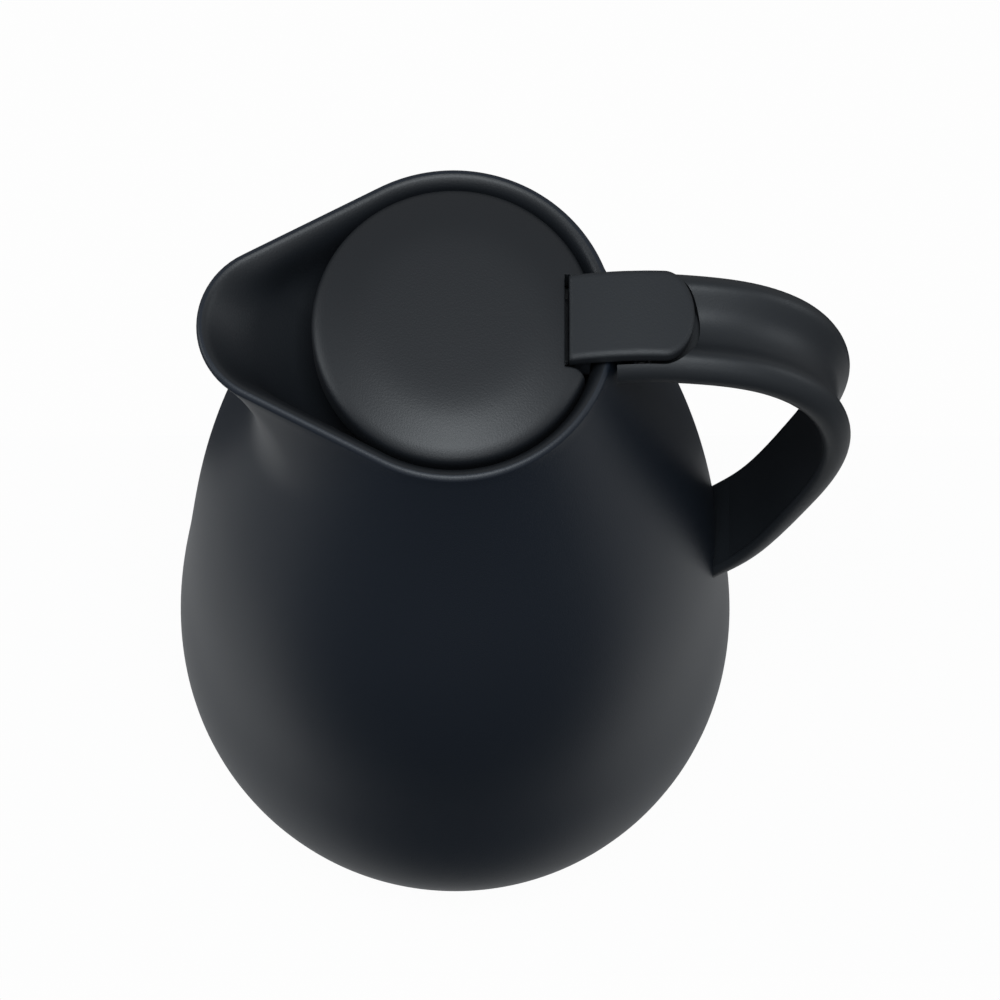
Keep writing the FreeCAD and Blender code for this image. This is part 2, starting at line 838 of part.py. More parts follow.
def make_lever_plate():
    """Bowed plate with the lever's plan and a round along its upper edge."""
    top, bottom = lever_arcs()
    ends = [line(top.valueAt(p), top.valueAt(p) - at(0, lever_thickness)) for p in top.ParameterRange]
    side = Part.Face(Part.Wire(Part.sortEdges([top, bottom] + ends)[0]))
    side.translate(ACROSS * -body_radius)
    plate = side.extrude(ACROSS * (2 * body_radius))
    plate = plate.common(lever_prism(0.0, 0.0, lever_start, 0.0, well_above))
    top.translate(ACROSS * -body_radius)
    upper_face = top.extrude(ACROSS * (2 * body_radius))

    def on_top(edge):
        middle = edge.valueAt((edge.FirstParameter + edge.LastParameter) / 2)
        return Part.Vertex(middle).distToShape(upper_face)[0] < touch

    return plate.makeFillet(lever_round, [edge for edge in plate.Edges if on_top(edge)])


def make_thumb_lever():
    riser = block(lever_start, lever_start + riser_length, lever_half_width - lever_round,
                  flange_top, rim_height + lever_inner_rise - lever_thickness / 2)
    tongue = block(post_x - tongue_end_margin, lever_start + riser_length, tongue_half_width,
                   flange_top, flange_top + tongue_thickness)
    knuckle = hinge_rod(knuckle_radius, knuckle_half_length)
    web = block(hinge_x - knuckle_radius, hinge_x + knuckle_radius, knuckle_half_length,
                hinge_z, rim_height + lever_top_rise - lever_thickness / 2)
    lever = make_lever_plate().fuse([riser, tongue, knuckle, web]).removeSplitter()
    lever = lever.cut(hinge_rod(pin_radius + pin_press, strap_width))
    for side in (1, -1):
        lever = lever.cut(rod(lever_screw_radius + screw_fit, flange_top - cut_over,
                              flange_top + tongue_thickness + cut_over, post_x, side * post_y))
    return lever


def make_lever_screws():
    seat = flange_top + tongue_thickness
    screws = []
    for side in (1, -1):
        y = side * post_y
        shank = rod(lever_screw_radius, flange_top - lever_screw_grip + screw_fit, seat, post_x, y)
        head = rod(lever_screw_head_radius, seat, seat + lever_screw_head_height, post_x, y)
        screws.append(shank.fuse(head).removeSplitter())
    return Part.makeCompound(screws)


def make_handle_screws():
    return Part.makeCompound([handle_screw(side * screw_offset, 0.0, 0.0).removeSplitter()
                              for side in (1, -1)])


NODES = {
    "outer_shell": make_outer_shell,
    "pour_collar": make_pour_collar,
    "mouth_gasket": make_mouth_gasket,
    "flask_inner": make_flask_inner,
    "flask_outer": make_flask_outer,
    "flask_spacers": make_flask_spacers,
    "flask_cushion": make_flask_cushion,
    "base_cap": make_base_cap,
    "base_seal": make_base_seal,
    "foot_ring": lambda: foot_groove(0.0),
    "handle_shell": make_handle_shell,
    "handle_liner": lambda: liner_form(0.0),
    "handle_screws": make_handle_screws,
    "hinge_pin": lambda: hinge_rod(pin_radius, ear_outside),
    "lid_cover": make_lid_cover,
    "lid_base": make_lid_base,
    "lid_gasket": make_lid_gasket,
    "lid_insulation": make_lid_insulation,
    "thumb_lever": make_thumb_lever,
    "lever_screws": make_lever_screws,
}

os.makedirs("parts", exist_ok=True)
SHAPES = {name: make() for name, make in NODES.items()}

# The frame's origin lies under the middle of the whole length, from the belly to the handle's turn
middle_x = (SHAPES["handle_shell"].optimalBoundingBox(False).XMax - body_radius) / 2
for name, shape in SHAPES.items():
    shape.translate(at(-middle_x, 0))
    box = shape.optimalBoundingBox(False)
    print(f"{name}: {len(shape.Solids)} solids, volume {shape.Volume:.0f}, valid {shape.isValid()}, "
          f"x {box.XMin:.1f} {box.XMax:.1f} y {box.YMin:.1f} {box.YMax:.1f} "
          f"z {box.ZMin:.1f} {box.ZMax:.1f}")
    shape.exportStep(f"parts/{name}.step")
print(f"middle_x {middle_x:.4f}, hinge at x {hinge_x - middle_x:.4f} z {hinge_z:.4f}")
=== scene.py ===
"""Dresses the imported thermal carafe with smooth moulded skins, finishes, studio light and a camera."""

import logging
import math
from dataclasses import dataclass, field
from enum import Enum
from typing import Dict, List, Optional, Protocol, Sequence, Tuple

import bmesh
import bpy
import numpy as np
from mathutils import Matrix, Vector


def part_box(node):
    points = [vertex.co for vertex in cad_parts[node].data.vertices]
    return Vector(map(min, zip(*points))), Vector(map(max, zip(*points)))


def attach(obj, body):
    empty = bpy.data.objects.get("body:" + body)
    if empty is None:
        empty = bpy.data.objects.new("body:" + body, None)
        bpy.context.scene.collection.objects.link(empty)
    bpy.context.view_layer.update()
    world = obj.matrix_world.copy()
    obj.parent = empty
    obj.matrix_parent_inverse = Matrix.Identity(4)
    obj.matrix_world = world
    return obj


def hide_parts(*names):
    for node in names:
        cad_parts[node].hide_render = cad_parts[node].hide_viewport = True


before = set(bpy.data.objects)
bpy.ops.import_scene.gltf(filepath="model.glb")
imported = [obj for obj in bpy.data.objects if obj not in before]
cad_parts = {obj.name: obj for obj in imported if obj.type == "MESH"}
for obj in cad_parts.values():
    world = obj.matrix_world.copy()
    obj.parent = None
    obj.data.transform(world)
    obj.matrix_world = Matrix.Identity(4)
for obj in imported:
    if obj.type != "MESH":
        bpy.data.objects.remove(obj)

LOG = logging.getLogger("carafe")
MM = 0.001
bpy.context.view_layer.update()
AXIS_X = (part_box("foot_ring")[0].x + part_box("foot_ring")[1].x) / 2

Rows = List[np.ndarray]
Level = Tuple[np.ndarray, float]
Range = Tuple[float, float]
Tone = Tuple[float, float, float]


class Part(Enum):
    """CAD bodies that the new pieces ride on."""

    BODY = "body"


class Slot(Enum):
    """Material slots of the record."""

    SHELL = "shell"
    COLLAR = "collar"
    LID = "lid"
    STOPPER = "stopper"
    LEVER = "lever"
    HANDLE = "handle"
    LINER = "liner"
    BASE = "base"
    FOOT = "foot"
    SILICONE = "silicone"
    GLASS = "glass"
    PADS = "pads"
    FOAM = "foam"
    STEEL = "steel"


class Socket(Enum):
    """Socket types of the shared node groups."""

    VALUE = "NodeSocketFloat"
    VECTOR = "NodeSocketVector"
    COLOUR = "NodeSocketColor"


class Calc(Enum):
    """Math nodes that the materials and the world use."""

    TIMES = "MULTIPLY"
    TIMES_PLUS = "MULTIPLY_ADD"
    LARGER = "MAXIMUM"


class Finish(Protocol):
    """Anything that can make a material."""

    def build(self) -> bpy.types.Material:
        """Returns the material."""


Paints = Dict[Slot, bpy.types.Material]
Sockets = Dict[str, Socket]


class Spline:
    """Cubic curve through points, free or with given slopes at its ends."""

    def __init__(self, knots: Sequence[float], values: Sequence, start: Optional[Sequence] = None,
                 end: Optional[Sequence] = None) -> None:
        """Solves the curve's slopes.

        Args:
            knots: Rising parameters, one for each value.
            values: Points or numbers that the curve passes through.
            start: Slope at the first knot, or None for a free end.
            end: Slope at the last knot, or None for a free end.
        """
        self.t = np.asarray(knots, float)
        through = np.asarray(values, float)
        self.shape = through.shape[1:]
        flat = through.reshape(len(self.t), -1)
        h = np.diff(self.t)
        rise = np.diff(flat, axis=0) / h[:, None]
        n = len(self.t)
        system, right = np.zeros((n, n)), np.zeros_like(flat)
        for i in range(1, n - 1):
            system[i, i - 1:i + 2] = h[i], 2 * (h[i - 1] + h[i]), h[i - 1]
            right[i] = 3 * (h[i] * rise[i - 1] + h[i - 1] * rise[i])
        for row, near, given, step in ((0, 1, start, rise[0]), (n - 1, n - 2, end, rise[-1])):
            if given is None:
                system[row, row], system[row, near], right[row] = 2, 1, 3 * step
            else:
                system[row, row], right[row] = 1, np.asarray(given, float).reshape(-1)
        self.flat, self.slope = flat, np.linalg.solve(system, right)

    def __call__(self, t: float) -> np.ndarray:
        """Reads the curve.

        Args:
            t: Parameter, between the first knot and the last.

        Returns:
            The point there.
        """
        i = int(np.clip(np.searchsorted(self.t, t) - 1, 0, len(self.t) - 2))
        h = self.t[i + 1] - self.t[i]
        s = (t - self.t[i]) / h
        near, far = (1 + 2 * s) * (1 - s) ** 2, s * s * (3 - 2 * s)
        point = (near * self.flat[i] + far * self.flat[i + 1]
                 + h * s * (1 - s) ** 2 * self.slope[i] - h * s * s * (1 - s) * self.slope[i + 1])
        return point.reshape(self.shape)


def blend(a: float, b: float, share: float) -> float:
    """Returns the value at a share of the way from a to b."""
    return a + (b - a) * share


def chord_knots(points: np.ndarray) -> np.ndarray:
    """Returns the summed chord lengths along a row of points."""
    return np.concatenate([[0.0], np.cumsum(np.linalg.norm(np.diff(points, axis=0), axis=1))])


class MeshKit:
    """Turns rings of points, in millimetres about the body axis, into Blender objects."""

    SHARP_ANGLE = math.radians(38)
    MERGE_DISTANCE = 1e-7

    @staticmethod
    def to_frame(points: np.ndarray) -> np.ndarray:
        """Moves points into the frame.

        Args:
            points: Points in millimetres about the body axis.

        Returns:
            The points in metres, in the frame.
        """
        moved = np.asarray(points, float) * MM
        moved[..., 0] += AXIS_X
        return moved

    @classmethod
    def finish(cls, name: str, mesh: bpy.types.Mesh, part: Part, slot: Slot,
               nodes: Sequence[str]) -> bpy.types.Object:
        """Makes an object of a mesh, smooth with sharp corners, riding on its body.

        Args:
            name: Name of the piece.
            mesh: Mesh in the frame, in metres.
            part: Body that it moves with.
            slot: Material slot of the record; not used.
            nodes: CAD nodes that it stands for.

        Returns:
            The new object.
        """
        mesh.polygons.foreach_set("use_smooth", [True] * len(mesh.polygons))
        mesh.set_sharp_from_angle(angle=cls.SHARP_ANGLE)
        piece = bpy.data.objects.new(name, mesh)
        bpy.context.scene.collection.objects.link(piece)
        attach(piece, part.value)
        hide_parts(*nodes)
        LOG.info("%s: %d faces, stands for %s", name, len(mesh.polygons), ", ".join(nodes))
        return piece

    @classmethod
    def rings(cls, name: str, rows: Rows) -> bpy.types.Mesh:
        """Skins closed rings of points, and joins the last ring to the first.

        Args:
            name: Name of the mesh.
            rows: Rings with equal point counts, in millimetres about the body axis.

        Returns:
            The mesh, in the frame.
        """
        points = cls.to_frame(np.array(rows))
        count, width = points.shape[:2]
        work = bmesh.new()
        verts = [[work.verts.new(p) for p in row] for row in points]
        for i in range(count):
            near, far = verts[i], verts[(i + 1) % count]
            for j in range(width):
                k = (j + 1) % width
                work.faces.new((near[j], near[k], far[k], far[j]))
        bmesh.ops.remove_doubles(work, verts=work.verts, dist=cls.MERGE_DISTANCE)
        bmesh.ops.recalc_face_normals(work, faces=work.faces)
        mesh = bpy.data.meshes.new(name)
        work.to_mesh(mesh)
        work.free()
        return mesh


@dataclass
class BodyForm:
    """Outer form of the carafe's body: side line, spout and lip, in millimetres."""

    radius: float = 77.98
    belly: float = 32.0
    rim: float = 197.0
    rim_radius: float = 37.3
    wall: float = 2.6
    lip_round: float = 1.2
    lip_crest: float = 1.3
    lip_steps: int = 8
    lip_start_share: float = 0.15
    seat_drop: float = 0.4
    foot: float = 0.8
    floor_radius: float = 52.0
    height_shares: Tuple[float, ...] = (0.0, 0.2, 0.4, 0.58, 0.74, 0.87, 0.95, 1.0)
    drop_shares: Tuple[float, ...] = (0.0, 0.105, 0.245, 0.43, 0.655, 0.84, 0.943, 1.0)
    rim_slope: float = 0.27
    spout_height: float = 42.0
    spout_reach: float = 58.98
    nose_radius: float = 19.0
    fade: float = 1.35
    swell: float = 2.0
    columns: int = 240
    search_steps: int = 50
    lip_base: float = field(init=False)
    spout_root: float = field(init=False)
    side: Spline = field(init=False)
    turn: np.ndarray = field(init=False)

    def __post_init__(self) -> None:
        """Prepares the side line and the directions of the columns."""
        self.lip_base = self.rim - self.lip_round
        self.spout_root = self.rim - self.spout_height
        rise, drop = self.lip_base - self.belly, self.radius - self.rim_radius
        points = np.array([(self.radius - drop * d, self.belly + rise * h)
                           for h, d in zip(self.height_shares, self.drop_shares)])
        end = np.array([-self.rim_slope, 1.0])
        self.side = Spline(chord_knots(points), points, (0.0, 1.0), end / np.linalg.norm(end))
        self.turn = np.linspace(-math.pi, math.pi, self.columns, endpoint=False)

    def side_radius(self, z: float) -> float:
        """Finds the body's radius by halving the side line.

        Args:
            z: Height, on or above the belly.

        Returns:
            The radius there.
        """
        low, high = self.side.t[0], self.side.t[-1]
        for _ in range(self.search_steps):
            middle = (low + high) / 2
            low, high = (middle, high) if self.side(middle)[1] < z else (low, middle)
        return float(self.side(low)[0])

    def spout_sizes(self, z: float) -> Tuple[float, float, float]:
        """Measures the body's outline.

        Args:
            z: Height, on or above the belly.

        Returns:
            Main radius, nose radius and distance of the nose's centre from the axis.
        """
        main = self.side_radius(z)
        share = (z - self.spout_root) / (self.lip_base - self.spout_root)
        if share <= 0:
            return main, main, 0.0
        root = self.side_radius(self.spout_root)
        nose = blend(self.nose_radius, root, (1 - share) ** self.fade)
        tip = main + (self.spout_reach - self.rim_radius) * share ** self.swell
        return main, nose, tip - nose

    def drop_radii(self, main: float, nose: float, centre: float) -> np.ndarray:
        """Measures a drop-shaped outline along the columns.

        Args:
            main: Radius of the arc about the axis.
            nose: Radius of the nose arc towards -X.
            centre: Distance of the nose arc's centre from the axis.

        Returns:
            Distances from the axis, the first column pointing to +X.
        """
        radii = np.full(self.columns, float(main))
        if centre <= 0:
            return radii
        flank = math.acos(min(1.0, (main - nose) / centre))
        tip = math.atan2(nose * math.sin(flank), centre + nose * math.cos(flank))
        turn = np.abs(self.turn)
        on_flank = turn < flank
        radii[on_flank] = main / np.cos(flank - turn[on_flank])
        on_nose = turn < tip
        reach = centre * np.sin(turn[on_nose])
        radii[on_nose] = centre * np.cos(turn[on_nose]) + np.sqrt(nose * nose - reach * reach)
        return radii

    def polar_ring(self, radii: np.ndarray, z: float) -> np.ndarray:
        """Returns the ring at height z with the given distances from the axis."""
        return np.stack([-radii * np.cos(self.turn), radii * np.sin(self.turn),
                         np.full(self.columns, z)], 1)

    def ring(self, z: float, inset: float) -> np.ndarray:
        """Returns the body's ring at height z, drawn in by inset."""
        main, nose, centre = self.spout_sizes(z)
        return self.polar_ring(self.drop_radii(main - inset, nose - inset, centre), z)

    def circle(self, radius: float, z: float) -> np.ndarray:
        """Returns a round ring with the body's columns."""
        return self.polar_ring(np.full(self.columns, radius), z)

    def lip_ring(self, inset: float, drop: float) -> np.ndarray:
        """Returns the lip's ring drawn in by inset, at a drop below the rim."""
        main, nose, centre = self.spout_sizes(self.lip_base)
        return self.polar_ring(self.drop_radii(main - inset, nose - inset, centre), self.rim - drop)

    def lip_rows(self) -> Rows:
        """Rolls the lip over.

        Returns:
            Rings over its outer roll, then over the seat for the collar inside its crest.
        """
        turns = np.linspace(self.lip_start_share, 1, self.lip_steps) * math.pi / 2
        rows = [self.lip_ring(self.lip_round * (1 - math.cos(turn)), self.lip_round * (1 - math.sin(turn)))
                for turn in turns]
        seat = (self.lip_crest, 0.0), (self.lip_crest, self.seat_drop), (self.wall, self.lip_round)
        return rows + [self.lip_ring(inset, drop) for inset, drop in seat]

    def under_rows(self, inset: float, steps: int) -> Rows:
        """Rounds the underside.

        Args:
            inset: How far it is drawn in from the outside.
            steps: Number of rings.

        Returns:
            Rings from the floor to the belly.
        """
        drop, width = self.belly - self.foot - inset, self.radius - self.floor_radius - inset
        return [self.circle(self.floor_radius + width * math.sin(turn), self.belly - drop * math.cos(turn))
                for turn in np.linspace(0, math.pi / 2, steps)]


@dataclass
class OuterShell:
    """Body, lip and spout in one moulding, open at the bottom."""

    form: BodyForm
    opening_radius: float = 46.2
    ring_wall: float = 2.4
    ring_height: float = 11.2
    groove: Tuple[float, float, float] = (47.9, 51.5, 2.1)
    side_steps: int = 64
    under_steps: int = 20

    def build(self) -> bpy.types.Object:
        """Makes the shell: ring and groove, outside, lip, inside.

        Returns:
            The shell's piece.
        """
        form, foot = self.form, self.form.foot
        top = foot + self.ring_height
        inner, outer, roof = self.groove
        rows = [form.circle(self.opening_radius, top), form.circle(self.opening_radius, foot),
                form.circle(inner, foot), form.circle(inner, roof), form.circle(outer, roof),
                form.circle(outer, foot)]
        rows += form.under_rows(0.0, self.under_steps)
        heights = np.linspace(form.belly, form.lip_base, self.side_steps)
        rows += [form.ring(z, 0.0) for z in heights[1:]]
        rows += form.lip_rows()
        rows += [form.ring(z, form.wall) for z in heights[:0:-1]]
        rows += form.under_rows(form.wall, self.under_steps)[::-1]
        ring_outer = self.opening_radius + self.ring_wall
        rows += [form.circle(ring_outer, foot + form.wall), form.circle(ring_outer, top)]
        mesh = MeshKit.rings("shell_skin", rows)
        return MeshKit.finish("shell_skin", mesh, Part.BODY, Slot.SHELL, ["outer_shell"])


@dataclass
class PourCollar:
    """Funnel inside the lip with the pouring trough and the throat."""

    form: BodyForm
    top_drop: float = 1.5
    edge: float = 0.5
    fit: float = 0.15
    wall: float = 1.5
    throat_depth: float = 21.0
    throat_radius: float = 28.0
    bore_depth: float = 30.0
    bore_radius: float = 21.5
    bottom_depth: float = 35.0
    flange_width: float = 6.0
    flange_thickness: float = 2.0
    mid_share: float = 0.45
    mid_width_share: float = 0.2
    mid_nose_share: float = 0.34
    steps: int = 48

    def levels(self, thickness: float, edge: float) -> List[Level]:
        """Measures the trough along the columns.

        Args:
            thickness: How far it is drawn in from its outer face.
            edge: Thickness of its top edge.

        Returns:
            Distances from the axis and height at the top edge, halfway and at the throat.
        """
        form = self.form
        top, throat = form.rim - self.top_drop, form.rim - self.throat_depth
        main, nose, centre = form.spout_sizes(top)
        rim = form.wall + self.fit + edge
        inset = form.wall + self.fit + thickness
        low = self.throat_radius + self.wall - thickness
        middle = (blend(main - inset, low, self.mid_width_share),
                  blend(nose - inset, low, self.mid_nose_share), blend(centre, 0.0, self.mid_nose_share))
        sizes = (main - rim, nose - rim, centre), middle, (low, low, 0.0)
        heights = top, blend(top, throat, self.mid_share), throat
        return [(form.drop_radii(*size), z) for size, z in zip(sizes, heights)]

    def sweep(self, levels: Sequence[Level], start: Optional[np.ndarray]) -> Rows:
        """Runs a smooth line through levels.

        Args:
            levels: Distances from the axis and height of each level, from the top down.
            start: Slope at the first level, or None for a free end.

        Returns:
            Rings along the line.
        """
        points = np.array([np.append(radii, z) for radii, z in levels])
        side_column, height = self.form.columns // 4, self.form.columns
        knots = chord_knots(points[:, [side_column, height]])
        line = Spline(knots, points, start)
        return [self.form.polar_ring(line(t)[:-1], line(t)[-1])
                for t in np.linspace(0.0, knots[-1], self.steps)]

    def build(self) -> bpy.types.Object:
        """Makes the collar: trough, throat, bore, flange, neck, outside.

        Returns:
            The collar's piece.
        """
        form = self.form
        bore, bottom = form.rim - self.bore_depth, form.rim - self.bottom_depth
        main, nose, centre = form.spout_sizes(form.lip_base)
        crest = form.drop_radii(main - form.lip_crest, nose - form.lip_crest, centre)
        level_start = np.append(np.full(form.columns, -1.0), 0.0)
        rows = self.sweep([(crest, form.rim)] + self.levels(self.wall, self.edge), level_start)
        rows += [form.circle(self.bore_radius, bore), form.circle(self.bore_radius, bottom)]
        flange = self.bore_radius + self.wall + self.flange_width
        rows += [form.circle(flange, bottom), form.circle(flange, bottom + self.flange_thickness)]
        neck = self.bore_radius + self.wall
        rows += [form.circle(neck, bottom + self.flange_thickness), form.circle(neck, bore)]
        rows += self.sweep(self.levels(0.0, 0.0), None)[::-1]
        mesh = MeshKit.rings("collar_skin", rows)
        return MeshKit.finish("collar_skin", mesh, Part.BODY, Slot.COLLAR, ["pour_collar"])


def math_node(nodes: bpy.types.Nodes, calc: Calc, factor: Optional[float] = None,
              clamp: bool = False) -> bpy.types.Node:
    """Adds a math node.

    Args:
        nodes: Nodes of the group, material or world.
        calc: What it works out.
        factor: Its second number, or None where a link gives it.
        clamp: True keeps the result between 0 and 1.

    Returns:
        The new node.
    """
    node = nodes.new("ShaderNodeMath")
    node.operation = calc.value
    node.use_clamp = clamp
    if factor is not None:
        node.inputs[1].default_value = factor
    return node


def group_node(nodes: bpy.types.Nodes, tree: bpy.types.NodeTree, **values: float) -> bpy.types.Node:
    """Adds a node group to a material.

    Args:
        nodes: Nodes of the material.
        tree: Shared node group.
        **values: Numbers for the group's inputs, by name.

    Returns:
        The new node.
    """
    node = nodes.new("ShaderNodeGroup")
    node.node_tree = tree
    for name, value in values.items():
        node.inputs[name].default_value = value
    return node


class NodeGroups:
    """Shader node groups that several finishes share, each built once."""

    GRAIN_DETAIL = 3.0
    PIT_SHARE = 0.5
    DRIFT_DETAIL = 2.0
    STREAK_DETAIL = 2.0
    STREAK_STRETCH = (1.0, 0.06, 1.0)

    made: Dict[str, bpy.types.NodeTree] = {}

    @classmethod
    def start(cls, name: str, inputs: Sockets,
              outputs: Sockets) -> Tuple[bpy.types.NodeTree, bpy.types.Node, bpy.types.Node]:
        """Makes an empty group.

        Args:
            name: Name of the group.
            inputs: Socket types of its inputs, by name.
            outputs: Socket types of its outputs, by name.

        Returns:
            The group, its input node and its output node.
        """
        group = bpy.data.node_groups.new(name, "ShaderNodeTree")
        for side, sockets in (("INPUT", inputs), ("OUTPUT", outputs)):
            for label, kind in sockets.items():
                group.interface.new_socket(name=label, in_out=side, socket_type=kind.value)
        cls.made[name] = group
        return group, group.nodes.new("NodeGroupInput"), group.nodes.new("NodeGroupOutput")

    @classmethod
    def moulded_grain(cls) -> bpy.types.NodeTree:
        """Builds the fine spark-eroded grain of moulded plastic.

        Returns:
            The group, which puts out a height and a fleck mask.
        """
        if "moulded_grain" in cls.made:
            return cls.made["moulded_grain"]
        group, give, take = cls.start(
            "moulded_grain", {"Vector": Socket.VECTOR, "Scale": Socket.VALUE, "Depth": Socket.VALUE},
            {"Height": Socket.VALUE, "Fleck": Socket.VALUE})
        fine = group.nodes.new("ShaderNodeTexNoise")
        fine.inputs["Detail"].default_value = cls.GRAIN_DETAIL
        pits = group.nodes.new("ShaderNodeTexVoronoi")
        join = math_node(group.nodes, Calc.TIMES_PLUS, cls.PIT_SHARE)
        deep = math_node(group.nodes, Calc.TIMES)
        links = group.links
        for texture in (fine, pits):
            links.new(give.outputs["Vector"], texture.inputs["Vector"])
            links.new(give.outputs["Scale"], texture.inputs["Scale"])
        links.new(pits.outputs["Distance"], join.inputs[0])
        links.new(fine.outputs["Fac"], join.inputs[2])
        links.new(join.outputs[0], deep.inputs[0])
        links.new(give.outputs["Depth"], deep.inputs[1])
        links.new(deep.outputs[0], take.inputs["Height"])
        links.new(fine.outputs["Fac"], take.inputs["Fleck"])
        return group

    @classmethod
    def tone_drift(cls) -> bpy.types.NodeTree:
        """Builds a slow drift between two tones with a fine fleck in it.

        Returns:
            The group, which puts out a colour and a mask.
        """
        if "tone_drift" in cls.made:
            return cls.made["tone_drift"]
        group, give, take = cls.start(
            "tone_drift",
            {"Vector": Socket.VECTOR, "Scale": Socket.VALUE, "Fleck": Socket.VALUE,
             "Fleck Share": Socket.VALUE, "Tone A": Socket.COLOUR, "Tone B": Socket.COLOUR},
            {"Color": Socket.COLOUR, "Mask": Socket.VALUE})
        slow = group.nodes.new("ShaderNodeTexNoise")
        slow.inputs["Detail"].default_value = cls.DRIFT_DETAIL
        add = math_node(group.nodes, Calc.TIMES_PLUS)
        tones = group.nodes.new("ShaderNodeMix")
        tones.data_type = "RGBA"
        links = group.links
        links.new(give.outputs["Vector"], slow.inputs["Vector"])
        links.new(give.outputs["Scale"], slow.inputs["Scale"])
        links.new(give.outputs["Fleck"], add.inputs[0])
        links.new(give.outputs["Fleck Share"], add.inputs[1])
        links.new(slow.outputs["Fac"], add.inputs[2])
        links.new(add.outputs[0], tones.inputs["Factor"])
        links.new(give.outputs["Tone A"], tones.inputs["A"])
        links.new(give.outputs["Tone B"], tones.inputs["B"])
        links.new(tones.outputs["Result"], take.inputs["Color"])
        links.new(add.outputs[0], take.inputs["Mask"])
        return group

    @classmethod
    def turned_streaks(cls) -> bpy.types.NodeTree:
        """Builds fine lines that run along the piece.

        Returns:
            The group, which puts out a mask.
        """
        if "turned_streaks" in cls.made:
            return cls.made["turned_streaks"]
        group, give, take = cls.start(
            "turned_streaks", {"Vector": Socket.VECTOR, "Scale": Socket.VALUE}, {"Mask": Socket.VALUE})
        stretch = group.nodes.new("ShaderNodeVectorMath")
        stretch.operation = "MULTIPLY"
        stretch.inputs[1].default_value = cls.STREAK_STRETCH
        lines = group.nodes.new("ShaderNodeTexNoise")
        lines.inputs["Detail"].default_value = cls.STREAK_DETAIL
        links = group.links
        links.new(give.outputs["Vector"], stretch.inputs[0])
        links.new(stretch.outputs["Vector"], lines.inputs["Vector"])
        links.new(give.outputs["Scale"], lines.inputs["Scale"])
        links.new(lines.outputs["Fac"], take.inputs["Mask"])
        return group


@dataclass(frozen=True)
class DriftingFinish:
    """Tones and roughness that drift over a surface, which all the finishes have."""

    name: str
    tone_a: Tone
    tone_b: Tone
    roughness: Range = (0.43, 0.49)
    fleck_share: float = 0.25
    drift_scale: float = 14.0

    def start(self, tree: bpy.types.NodeTree, fleck: str,
              **values: float) -> Tuple[bpy.types.Material, bpy.types.Node, bpy.types.Node]:
        """Makes the material with its tones and roughness.

        Args:
            tree: Node group of the finish's own texture.
            fleck: Name of the texture's output that flecks the tones.
            **values: Numbers for the texture's inputs, by name.

        Returns:
            The material, its Principled shader and the texture's node.
        """
        material = bpy.data.materials.new(self.name)
        material.use_nodes = True
        nodes, links = material.node_tree.nodes, material.node_tree.links
        shader = nodes["Principled BSDF"]
        place = nodes.new("ShaderNodeTexCoord")
        texture = group_node(nodes, tree, **values)
        drift = group_node(nodes, NodeGroups.tone_drift(), Scale=self.drift_scale)
        drift.inputs["Fleck Share"].default_value = self.fleck_share
        drift.inputs["Tone A"].default_value = (*self.tone_a, 1.0)
        drift.inputs["Tone B"].default_value = (*self.tone_b, 1.0)
        rough = nodes.new("ShaderNodeMapRange")
        rough.inputs["To Min"].default_value, rough.inputs["To Max"].default_value = self.roughness
        for group in (texture, drift):
            links.new(place.outputs["Object"], group.inputs["Vector"])
        links.new(texture.outputs[fleck], drift.inputs["Fleck"])
        links.new(drift.outputs["Color"], shader.inputs["Base Color"])
        links.new(drift.outputs["Mask"], rough.inputs["Value"])
        links.new(rough.outputs["Result"], shader.inputs["Roughness"])
        return material, shader, texture


@dataclass(frozen=True)
class MouldedFinish(DriftingFinish):
    """Moulded plastic, rubber, felt or foam with a grain and, where wanted, soft edges; in metres."""

    grain_scale: float = 2200.0
    grain_depth: float = 0.2
    bump_distance: float = 0.00012
    specular: float = 0.4
    sheen: float = 0.0
    edge_round: float = 0.0
    edge_samples: int = 4

    def build(self) -> bpy.types.Material:
        """Makes the finish.

        Returns:
            The material.
        """
        material, shader, grain = self.start(NodeGroups.moulded_grain(), "Fleck", Scale=self.grain_scale,
                                             Depth=self.grain_depth)
        nodes, links = material.node_tree.nodes, material.node_tree.links
        shader.inputs["Specular IOR Level"].default_value = self.specular
        shader.inputs["Sheen Weight"].default_value = self.sheen
        bump = nodes.new("ShaderNodeBump")
        bump.inputs["Distance"].default_value = self.bump_distance
        if self.edge_round:
            edge = nodes.new("ShaderNodeBevel")
            edge.samples = self.edge_samples
            edge.inputs["Radius"].default_value = self.edge_round
            links.new(edge.outputs["Normal"], bump.inputs["Normal"])
        links.new(grain.outputs["Height"], bump.inputs["Height"])
        links.new(bump.outputs["Normal"], shader.inputs["Normal"])
        return material


@dataclass(frozen=True)
class MetalFinish(DriftingFinish):
    """Turned steel or the silver coat of the flask, with fine streaks."""

    fleck_share: float = 0.2
    drift_scale: float = 30.0
    streak_scale: float = 900.0
    coat: float = 0.0

    def build(self) -> bpy.types.Material:
        """Makes the finish.

        Returns:
            The material.
        """
        material, shader, _ = self.start(NodeGroups.turned_streaks(), "Mask", Scale=self.streak_scale)
        shader.inputs["Metallic"].default_value = 1.0
        shader.inputs["Coat Weight"].default_value = self.coat
        return material


